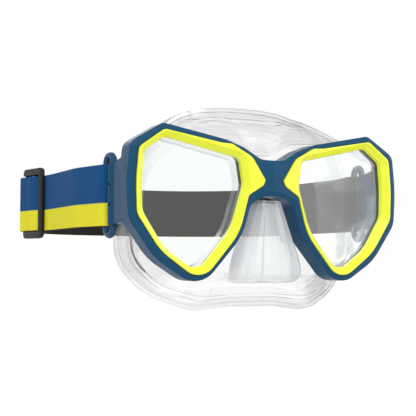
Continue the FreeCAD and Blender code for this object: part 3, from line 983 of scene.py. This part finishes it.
    def build(self) -> bpy.types.Object:
        """Build the skirt as one closed wall.

        Returns:
            The skirt.
        """
        last = len(self.rows) - 1
        outer_rows = [self.row(number) for number in range(last + 1)]
        outer_rows += [self.row(last, *place) for place in self.outer_edge]
        skirt = loft("clear_skirt", outer_rows, split_front=True)
        self.raise_bands(skirt)
        step = Vector((0.0, self.plate_wall * MM, 0.0))
        inner_rows = [[point + step for point in self.row(0, self.wall)]]
        inner_rows += [self.row(number, self.wall) for number in range(2, last)]
        inner_rows += [self.row(last, *place) for place in self.inner_edge]
        inner_rows.append(
            [Vector((point.x, self.hollow_end * MM, point.z)) for point in inner_rows[-1]]
        )
        hollow = loft("skirt_hollow", inner_rows, split_front=True)
        pocket = loft(
            "nose_outside",
            [self.nose_ring(level, 0.0, self.nose_back) for level in self.nose_levels],
        )
        combine(skirt, pocket, "UNION")
        for side in Side:
            combine(skirt, self.lens_block("lens_lip", side, self.lip), "UNION")
        combine(skirt, hollow, "DIFFERENCE")
        inner_levels = [self.inside_top, *self.nose_levels[1:-2], self.inside_floor]
        pocket_hollow = loft(
            "nose_inside",
            [self.nose_ring(level, self.nose_wall, self.inside_back) for level in inner_levels],
        )
        combine(skirt, pocket_hollow, "DIFFERENCE")
        for side in Side:
            combine(skirt, self.lens_block("lens_view", side, self.view), "DIFFERENCE")
        flap = loft("inner_seal", [self.row(*place) for place in self.flap], tube=True)
        combine(skirt, flap, "UNION")
        face_outwards(skirt)
        smooth(skirt, self.shade_degrees)
        return skirt

    def nose_half(self, z: float, spare: float) -> float:
        """Half width of the nose pocket at a height.

        Args:
            z: Height, in millimetres.
            spare: How far past a level it still counts, in millimetres.

        Returns:
            The half width, or 0 above and below the pocket.
        """
        for above, below in zip(self.nose_levels, self.nose_levels[1:]):
            if below[0] - spare <= z <= above[0] + spare:
                share = (above[0] - z) / (above[0] - below[0])
                return above[1] + share * (below[1] - above[1])
        return 0.0

    def etch_nose(self, skirt: bpy.types.Object) -> None:
        """Give the nose pocket's faces the second finish: that part of the mould is etched.

        Args:
            skirt: The finished skirt.
        """
        spare_width, spare_height, before_wall = self.etched_spare
        edge = self.rim_plane + self.plate_front - before_wall
        for face in skirt.data.polygons:
            x, y, z = face.center / MM
            if y < edge and abs(x) < self.nose_half(z, spare_height) + spare_width:
                face.material_index = 1

    def raise_bands(self, skirt: bpy.types.Object) -> None:
        """Raise the plain brow band and a long pad on each cheek.

        Args:
            skirt: The outer form, before it is hollowed.
        """
        around = 2 * len(self.seal_shape) * (self.arc_steps + self.line_steps)
        # The wall's columns run both ways from the middle of the brow.
        middle = self.line_steps // 2 + around // 2
        settings = bpy.context.tool_settings
        for low, high, near, far in self.bands:
            with editing(skirt):
                bpy.ops.mesh.select_all(action="DESELECT")
                settings.mesh_select_mode = (False, False, True)
                mesh = bmesh.from_edit_mesh(skirt.data)
                row = mesh.verts.layers.int["ring_number"]
                column = mesh.verts.layers.int["ring_order"]
                for face in mesh.faces:
                    rows = [vert[row] for vert in face.verts]
                    columns = [
                        abs((vert[column] + middle) % around - around // 2)
                        for vert in face.verts
                    ]
                    face.select_set(
                        len(rows) == 4
                        and low <= min(rows)
                        and max(rows) <= high
                        and near <= min(columns)
                        and max(columns) <= far
                    )
                bmesh.update_edit_mesh(skirt.data)
                bpy.ops.mesh.inset(thickness=self.band_slope * MM, depth=self.band_proud * MM)
                settings.mesh_select_mode = (True, False, False)


# ------------------------------------------------------------------ strap and sliders


@dataclass
class SliderPlace:
    """Where a slider sits on the wearer's left, in millimetres and degrees."""

    x: float = 82.21
    y: float = 83.6
    z: float = -4.5
    heading: float = 15.0

    def point(self, along: float, out: float) -> Flat:
        """A point given along the strap and out from the head."""
        turn = math.radians(self.heading)
        return (
            self.x + along * math.sin(turn) + out * math.cos(turn),
            self.y + along * math.cos(turn) - out * math.sin(turn),
        )

    def along(self, x: float, y: float) -> float:
        """How far along the strap a point lies from the slider's middle."""
        turn = math.radians(self.heading)
        return (x - self.x) * math.sin(turn) + (y - self.y) * math.cos(turn)


@dataclass
class Slider:
    """Three-bar slider: a front bar over the strap, the centre and rear bars under it."""

    place: SliderPlace = field(default_factory=SliderPlace)
    half_length: float = 11.0
    half_height: float = 19.3
    end_bar: float = 4.0
    half_centre_bar: float = 1.5
    plate_levels: Flat = (0.9, 2.9)
    bar_levels: Flat = (-2.75, -0.75)
    rail_top: float = 0.65
    # Measured from the slot's front: the rail is level up to the first place, and it has
    # dropped a little at the second, where its long slope begins.
    slope_starts: Flat = (-0.5, 1.0)
    slope_drop: float = 0.2
    slot_half_height: float = 15.6
    cut_spare: float = 1.0
    corner: float = 2.6
    corner_steps: int = 7
    edge: float = 0.45

    def block(self, name: str, profile: Sequence[Flat], half: float) -> bpy.types.Object:
        """A closed block of one side profile, in the slider's own axes at the origin."""
        rings = [
            [Vector((out, along, z)) * MM for out, along in profile] for z in (-half, half)
        ]
        return loft(name, rings)

    def build(self, name: str) -> bpy.types.Object:
        """Build the wearer's left-hand slider.

        Args:
            name: Name of the piece.

        Returns:
            The slider, in its place on the strap.
        """
        inner, outer = self.plate_levels
        low, top = self.bar_levels
        end, half_bar = self.half_length, self.half_centre_bar
        slot = end - self.end_bar
        before, after = self.slope_starts
        rail = [
            (outer, -end), (outer, -slot + before), (outer - self.slope_drop, -slot + after),
            (self.rail_top, end), (low, end), (low, -half_bar), (inner, -slot), (inner, -end),
        ]
        above, below, beyond = outer + self.cut_spare, low - self.cut_spare, end + self.cut_spare
        gap = [
            (above, -slot), (above, beyond), (top, beyond), (top, slot), (below, slot),
            (below, half_bar), (top, half_bar), (top, -half_bar), (below, -half_bar),
            (below, -slot),
        ]
        slider = self.block(name, rail, self.half_height)
        combine(slider, self.block("slots", gap, self.slot_half_height), "DIFFERENCE")
        with editing(slider):
            bpy.ops.mesh.select_all(action="DESELECT")
            mesh = bmesh.from_edit_mesh(slider.data)
            for edge in mesh.edges:
                middle = (edge.verts[0].co + edge.verts[1].co) / 2.0
                edge.select_set(
                    abs(abs(middle.y) - self.half_length * MM) < 1e-5
                    and abs(abs(middle.z) - self.half_height * MM) < 1e-5
                )
            bmesh.update_edit_mesh(slider.data)
            bpy.ops.mesh.bevel(
                offset=self.corner * MM, segments=self.corner_steps, affect="EDGES"
            )
        bevel_modifier(slider, "soft_edges", self.edge, 30.0)
        apply_modifiers(slider)
        smooth(slider, 35.0)
        turn = Matrix.Rotation(-math.radians(self.place.heading), 4, "Z")
        shift = Matrix.Translation(Vector((self.place.x, self.place.y, self.place.z)) * MM)
        slider.data.transform(shift @ turn)
        return slider


@dataclass
class Strap:
    """One length of woven webbing: round both rings, through both sliders, round the head.

    Sizes are in millimetres, in plan on the wearer's left.
    """

    place: SliderPlace = field(default_factory=SliderPlace)
    width: float = 30.0
    thick: float = 1.2
    level: float = -4.5
    ring_rear: Flat = (73.37, 0.56)
    wrap: float = 2.65
    wrap_out: float = 12.0
    waves: tuple[Flat, Flat] = ((80.81, 22.58), (79.21, 60.58))
    wave_radius: float = 40.0
    layer: float = 4.85
    # Seen from the slider: along the strap, out from the head, and the bend's radius. First
    # the sewn tail round the centre bar, then the strap's way through over all three bars.
    tail: tuple[Corner, ...] = (
        (-11.0, -2.15, 0.0), (-4.65, -2.15, 1.2), (-2.25, 0.0, 1.0), (2.25, 0.0, 0.8),
        (2.25, -3.5, 0.8), (-14.0, -3.5, 20.0),
    )
    through: tuple[Corner, ...] = (
        (-11.0, 0.0, 20.0), (-7.0, 0.0, 6.0), (-2.7, 1.35, 6.0), (2.7, 1.35, 6.0),
        (7.0, 0.0, 6.0), (14.0, 0.0, 9.0),
    )
    bend_in: Corner = (80.81, 111.5, 30.0)
    split: Corner = (70.81, 124.0, 0.0)
    nape: Corner = (60.81, 136.5, 60.0)
    back: Corner = (34.0, 154.0, 60.0)
    # The side is made in lengths that meet here, from the front and from the slider. The
    # tail's bends lie within its first points, so no length ends among them.
    front_cut: float = 24.0
    rear_cut: float = 12.5
    tail_points: int = 20
    steps_across: int = 12
    line_step: float = 4.0
    arc_step: float = 2.5
    arc_turn: float = 0.25
    edge: float = 0.4
    # Where each length would stop following one body, and where it would follow the next; bend
    # reads them, but no piece is made to follow a body. Only the rear's start is seen from the
    # slider.
    front_blend: tuple[Flat, Flat] = ((74.0, 3.0), (76.0, 21.0))
    middle_blend: tuple[Flat, Flat] = ((78.5, 27.0), (79.0, 70.0))
    rear_blend: tuple[Flat, Flat] = ((13.0, 0.0), (72.5, 121.5))

    def loop_corners(self) -> list[Corner]:
        """Corners of the folded side, from the sewn tail round the ring to the back.

        Returns:
            (x, y, radius) along the side.
        """
        tail, through = (
            [(*self.place.point(along, out), radius) for along, out, radius in corners]
            for corners in (self.tail, self.through)
        )
        (x, y), wrap = self.ring_rear, self.wrap
        ring = [
            (x - wrap, y + 2.0 * wrap, self.wrap_out), (x - wrap, y - wrap, wrap),
            (x + wrap, y - wrap, wrap),
        ]
        outer = [(*wave, self.wave_radius) for wave in self.waves]
        inner = [(wave_x - self.layer, wave_y, radius) for wave_x, wave_y, radius in outer]
        return [*tail, *reversed(inner), *ring, *outer, *through, self.bend_in, self.split]

    def back_corners(self) -> list[Corner]:
        """Corners of the back of the strap, from the left split to the right one."""
        half = [self.split, self.nape, self.back]
        return half + [(-x, y, radius) for x, y, radius in reversed(half)]

    def walk(self, corners: Sequence[Corner]) -> list[Vector]:
        """Points along an open path whose corners are rounded.

        Args:
            corners: (x, y, radius) along the path.

        Returns:
            The points, closer together in tight bends.
        """
        points = [Vector(corners[0][:2])]
        for before, corner, after in zip(corners, corners[1:], corners[2:]):
            start, end, centre, turn = corner_arc(before, corner, after)
            steps = max(3, round(turn * corner[2] / self.arc_step), round(turn / self.arc_turn))
            self.run_to(points, start)
            side = 1.0 if (start - centre).cross(end - centre) > 0 else -1.0
            for step in range(1, steps + 1):
                spoke = start - centre
                spoke.rotate(Matrix.Rotation(side * (turn * (step / steps)), 2))
                points.append(centre + spoke)
        self.run_to(points, Vector(corners[-1][:2]))
        return points

    def run_to(self, points: list[Vector], target: Vector) -> None:
        """Add points on the straight run from the last one to a target.

        Args:
            points: The path so far, which grows.
            target: Where the run ends.
        """
        start = points[-1].copy()
        length = (target - start).length
        if length < 1e-4:
            return
        steps = max(1, round(length / self.line_step))
        for step in range(1, steps + 1):
            points.append(start.lerp(target, step / steps))

    def ribbon(
        self,
        name: str,
        points: Sequence[Vector],
        start_length: float,
        finishes: Sequence[bpy.types.Material],
        lined: int = 0,
    ) -> bpy.types.Object:
        """Lay a flat length of webbing along a path in plan, its outer face to the right.

        Args:
            name: Name of the piece.
            points: Points along the path, in millimetres.
            start_length: Length of webbing before the first point, in millimetres.
            finishes: Finishes of the outer and the inner face.
            lined: How many of the first runs are plain on both faces.

        Returns:
            The closed ribbon; its UV map is in strap widths.
        """
        runs = len(points) - 1
        lengths = [start_length]
        for here, following in zip(points, points[1:]):
            lengths.append(lengths[-1] + (following - here).length)
        deselect_all()
        bpy.ops.mesh.primitive_grid_add(
            x_subdivisions=runs, y_subdivisions=self.steps_across, size=1.0, calc_uvs=True
        )
        ribbon = bpy.context.object
        ribbon.name = name
        ribbon.data.name = name
        stations = [
            (round((vert.co.x + 0.5) * runs), vert.co.y + 0.5) for vert in ribbon.data.vertices
        ]
        for vert, (station, across) in zip(ribbon.data.vertices, stations):
            x, y = points[station]
            vert.co = Vector((x, y, self.level + (across - 0.5) * self.width)) * MM
        flat = ribbon.data.uv_layers[0]
        flat.name = "webbing"
        for loop in ribbon.data.loops:
            station, across = stations[loop.vertex_index]
            flat.data[loop.index].uv = (across, lengths[station] / self.width)
        dress(ribbon, *finishes)
        runs_of = [
            [stations[index][0] for index in face.vertices] for face in ribbon.data.polygons
        ]
        for face, run in zip(ribbon.data.polygons, runs_of):
            face.material_index = int(max(run) <= lined)
        ribbon.data.update()
        heading = (points[1] - points[0]).normalized()
        first = min(range(len(runs_of)), key=lambda index: min(runs_of[index]))
        normal = ribbon.data.polygons[first].normal
        if normal.x * heading.y - normal.y * heading.x < 0:
            ribbon.data.flip_normals()
        body = ribbon.modifiers.new("thickness", "SOLIDIFY")
        body.thickness = self.thick * MM
        body.offset = 0.0
        body.use_even_offset = True
        body.material_offset = 1
        bevel_modifier(ribbon, "woven_edge", self.edge, 60.0)
        return ribbon

    def build(
        self, outside: bpy.types.Material, inside: bpy.types.Material
    ) -> dict[str, bpy.types.Object]:
        """Build the strap's pieces.

        Args:
            outside: Finish of the face away from the head.
            inside: Finish of the face towards the head, and of the sewn fold.

        Returns:
            The pieces by name.
        """
        walked = self.walk(self.loop_corners())
        count = len(walked)
        turn = max(range(count), key=lambda index: -walked[index].y)
        inner = next(i for i in range(self.tail_points + 1, count) if walked[i].y < self.front_cut)
        outer = next(i for i in range(turn, count) if walked[i].y > self.front_cut)
        rear = next(
            i for i in range(outer, count) if self.place.along(*walked[i]) > self.rear_cut
        )
        cuts = {
            "strap_fold": (0, inner), "strap_front": (inner, outer),
            "strap_over": (outer, rear), "strap_rear": (rear, count - 1),
        }
        travelled = [0.0]
        for here, following in zip(walked, walked[1:]):
            travelled.append(travelled[-1] + (following - here).length)
        finishes = (outside, inside)
        pieces = {}
        for word, (first, last) in cuts.items():
            name = word + "_left"
            pieces[name] = self.ribbon(
                name, walked[first : last + 1], travelled[first], finishes, turn - first
            )
        pieces["strap_back_band"] = self.ribbon(
            "strap_back_band", self.walk(self.back_corners()), travelled[-1], finishes
        )
        return pieces

    def bend(self, piece: bpy.types.Object, side: Side) -> None:
        """Bake one piece of the strap in place and hide the imported node it replaces; only the
        back band goes on a body, the root.

        Args:
            piece: The piece.
            side: Its side.
        """

        def at(place: Flat) -> Point:
            """A place in plan on this side, in metres."""
            return side.value * place[0] * MM, place[1] * MM, self.level * MM

        if piece.name == "strap_back_band":
            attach(piece, ROOT_BODY)
            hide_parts("strap_back")
            return
        if piece.name.startswith("strap_front"):
            start, end = self.front_blend
            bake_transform(piece)
        elif piece.name.startswith("strap_rear"):
            start, end = self.rear_blend
            at(self.place.point(*start))
            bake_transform(piece)
        else:
            start, end = self.middle_blend
            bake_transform(piece)
        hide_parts("strap_loop_" + side.word)


# ------------------------------------------------------------------ stage


@dataclass(frozen=True)
class Lamp:
    """A square soft lamp: where it hangs and its side in metres, and its power in watts."""

    name: str
    place: Point
    power: float
    size: float


@dataclass
class Stage:
    """Pale floor, soft lamps, a white surround and the camera."""

    camera_place: Point = (-0.2761, -0.5002, -0.0398)
    camera_forward: Point = (0.4584, 0.8871, 0.0544)
    camera_right: Point = (0.8883, -0.4592, 0.0027)
    lens_mm: float = 95.2
    sensor_mm: float = 36.0
    lamps: tuple[Lamp, ...] = (
        Lamp("key_lamp", (-0.5, -1.1, 0.85), 8.5, 0.8),
        Lamp("fill_lamp", (0.8, -0.7, 0.35), 3.0, 0.8),
        Lamp("rear_lamp", (0.1, 1.0, 0.8), 4.0, 0.7),
    )
    aim: Point = (0.0, 0.03, -0.01)
    surround_strength: float = 0.62
    floor_size: float = 6.0
    floor_gap: float = 0.0004
    # How much of the floor shows as plain white, and how bright, so that its shadow stays.
    floor_white_share: float = 0.75
    floor_white: float = 1.16

    def add_camera(self) -> None:
        """Create the camera and make it the scene's."""
        data = bpy.data.cameras.new("camera")
        data.lens = self.lens_mm
        data.sensor_width = self.sensor_mm
        data.clip_start = 0.01
        camera = bpy.data.objects.new("camera", data)
        bpy.context.scene.collection.objects.link(camera)
        forward = Vector(self.camera_forward).normalized()
        right = Vector(self.camera_right)
        right = (right - forward * right.dot(forward)).normalized()
        up = right.cross(forward)
        turn = Matrix((right, up, -forward)).transposed().to_4x4()
        camera.matrix_world = Matrix.Translation(Vector(self.camera_place)) @ turn
        bpy.context.scene.camera = camera

    def add_floor(self, level: float) -> None:
        """Lay a pale floor under the mask.

        Args:
            level: Height of the mask's lowest point, in metres.
        """
        deselect_all()
        bpy.ops.mesh.primitive_plane_add(
            size=self.floor_size, location=(0.0, 0.0, level - self.floor_gap)
        )
        floor = bpy.context.object
        floor.name = "floor"
        material, tree = new_material("painted_floor_matt")
        new = partial(add_node, tree)
        grain = new("TexNoise", {"Scale": 900.0, "Detail": 2.0})
        tint = new(
            "Mix", {"Factor": grain, 6: srgb("F2F2F2"), 7: srgb("F7F7F7")}, data_type="RGBA"
        )
        paint = new("BsdfDiffuse", {"Color": tint.outputs[2], "Roughness": 0.8})
        white = new("Emission", {"Color": srgb("FFFFFF"), "Strength": self.floor_white})
        share = new(
            "Math", {0: seen_directly(tree), 1: self.floor_white_share}, operation="MULTIPLY"
        )
        new("OutputMaterial", {"Surface": new("MixShader", {0: share, 1: paint, 2: white})})
        dress(floor, material)
        floor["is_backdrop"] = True

    def add_lamps(self) -> None:
        """Hang the lamps, each aimed at the middle of the mask."""
        for made in self.lamps:
            data = bpy.data.lights.new(made.name, "AREA")
            data.energy = made.power
            data.size = made.size
            lamp = bpy.data.objects.new(made.name, data)
            lamp.location = made.place
            way = Vector(self.aim) - Vector(made.place)
            lamp.rotation_euler = way.to_track_quat("-Z", "Y").to_euler()
            bpy.context.scene.collection.objects.link(lamp)

    def add_surround(self) -> None:
        """Light from all round, and plain white wherever the surround itself is seen."""
        world = bpy.data.worlds.new("surround")
        world.use_nodes = True
        tree = world.node_tree
        tree.nodes.clear()
        new = partial(add_node, tree)
        even = new("Background", {"Color": srgb("FFFFFF"), "Strength": self.surround_strength})
        white = new("Background", {"Color": srgb("FFFFFF"), "Strength": 1.0})
        surface = new("MixShader", {0: seen_directly(tree), 1: even, 2: white})
        new("OutputWorld", {"Surface": surface})
        bpy.context.scene.world = world


# ------------------------------------------------------------------ the mask


def dress_frame_nodes(nodes: dict[str, bpy.types.Object]) -> None:
    """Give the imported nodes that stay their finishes.

    Args:
        nodes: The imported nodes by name.
    """
    finishes = {
        # Polycarbonate from a satin tool: a broad, faint sheen.
        "frame": MouldedPlastic(
            "polycarbonate_frame_satin", "1F4F70", "1B4967", roughness=0.34, specular=0.07,
            coat=0.05, grain_mm=0.35, grain_depth=0.12, edge_mm=0.5,
        ),
        # Polycarbonate from a smoother tool: clearer highlights on the slopes.
        "rim": MouldedPlastic(
            "polycarbonate_rim_gloss", "F4FA3C", "F0F637", roughness=0.30, specular=0.4,
            coat=0.15, grain_mm=0.5, grain_depth=0.05, edge_mm=0.35,
        ),
        # Acetal from a polished tool: a small tight gleam along the bar.
        "ring": MouldedPlastic(
            "acetal_ring_polished", "215070", "1D4A69", roughness=0.20, specular=0.12,
            coat=0.10, grain_mm=0.5, grain_depth=0.05, edge_mm=0.2,
        ),
        "lens": TemperedGlass(),
        "stitching": BondedThread(),
    }
    built = {word: finish.build() for word, finish in finishes.items()}
    for name, node in nodes.items():
        finish = built.get(name.split("_")[0])
        if finish:
            for slot in node.material_slots:
                slot.material = finish
            LOG.info("%s keeps its shape and takes %s", name, finish.name)


def build_skirt() -> None:
    """Build and dress the skirt."""
    shape = Skirt()
    skirt = shape.build()
    # The pocket's mould is etched, so its silicone looks milky and dull.
    etched = ClearSilicone("clear_silicone_frosted", milkiness=0.42, roughness=0.25)
    dress(skirt, ClearSilicone().build(), etched.build())
    shape.etch_nose(skirt)
    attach(skirt, ROOT_BODY)
    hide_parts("skirt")
    LOG.info("%s: %d faces", skirt.name, len(skirt.data.polygons))


def build_strap() -> None:
    """Build and dress the strap, copy its side pieces to the right, and bake each piece in place.
    """
    outside = ElasticWebbing("polyester_webbing_blue", "1D629C", "0D467A", "FFF83A").build()
    inside = ElasticWebbing("polyester_webbing_black", "2C2C2B", "222120").build()
    strap = Strap()
    for name, piece in strap.build(outside, inside).items():
        apply_modifiers(piece)
        smooth(piece, 50.0)
        pieces = {Side.LEFT: piece}
        if name.endswith("_left"):
            pieces[Side.RIGHT] = mirrored_copy(piece, name.replace("_left", "_right"))
        for side, made in pieces.items():
            strap.bend(made, side)
            LOG.info("%s: %d faces", made.name, len(made.data.polygons))


def build_sliders() -> None:
    """Build and dress both sliders on their bodies."""
    # Nylon from a satin tool: almost black, with a dull broad sheen.
    nylon = MouldedPlastic(
        "nylon_slider_satin", "1D1E1F", "181919", roughness=0.45, specular=0.25, coat=0.0,
        grain_mm=0.4, grain_depth=0.2, edge_mm=0.2,
    ).build()
    left = Slider().build("strap_slider_left")
    right = mirrored_copy(left, "strap_slider_right")
    for side, slider in ((Side.LEFT, left), (Side.RIGHT, right)):
        dress(slider, nylon)
        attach(slider, "slider_" + side.word)
        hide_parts("slider_" + side.word)
        LOG.info("%s: %d faces", slider.name, len(slider.data.polygons))


def main() -> None:
    """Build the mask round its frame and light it."""
    logging.basicConfig(level=logging.INFO, format="%(message)s")
    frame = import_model()
    deselect_all()
    dress_frame_nodes(frame["nodes"])
    build_skirt()
    build_sliders()
    build_strap()
    stage = Stage()
    stage.add_camera()
    stage.add_floor(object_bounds()[0].z)
    stage.add_surround()
    stage.add_lamps()
    bpy.context.scene.view_settings.view_transform = "Standard"
    # Light passes two lenses and up to eight faces of the skirt on its way out.
    bpy.context.scene.cycles.transparent_max_bounces = 24
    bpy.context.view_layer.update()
    deselect_all()


if __name__ == "__main__":
    main()
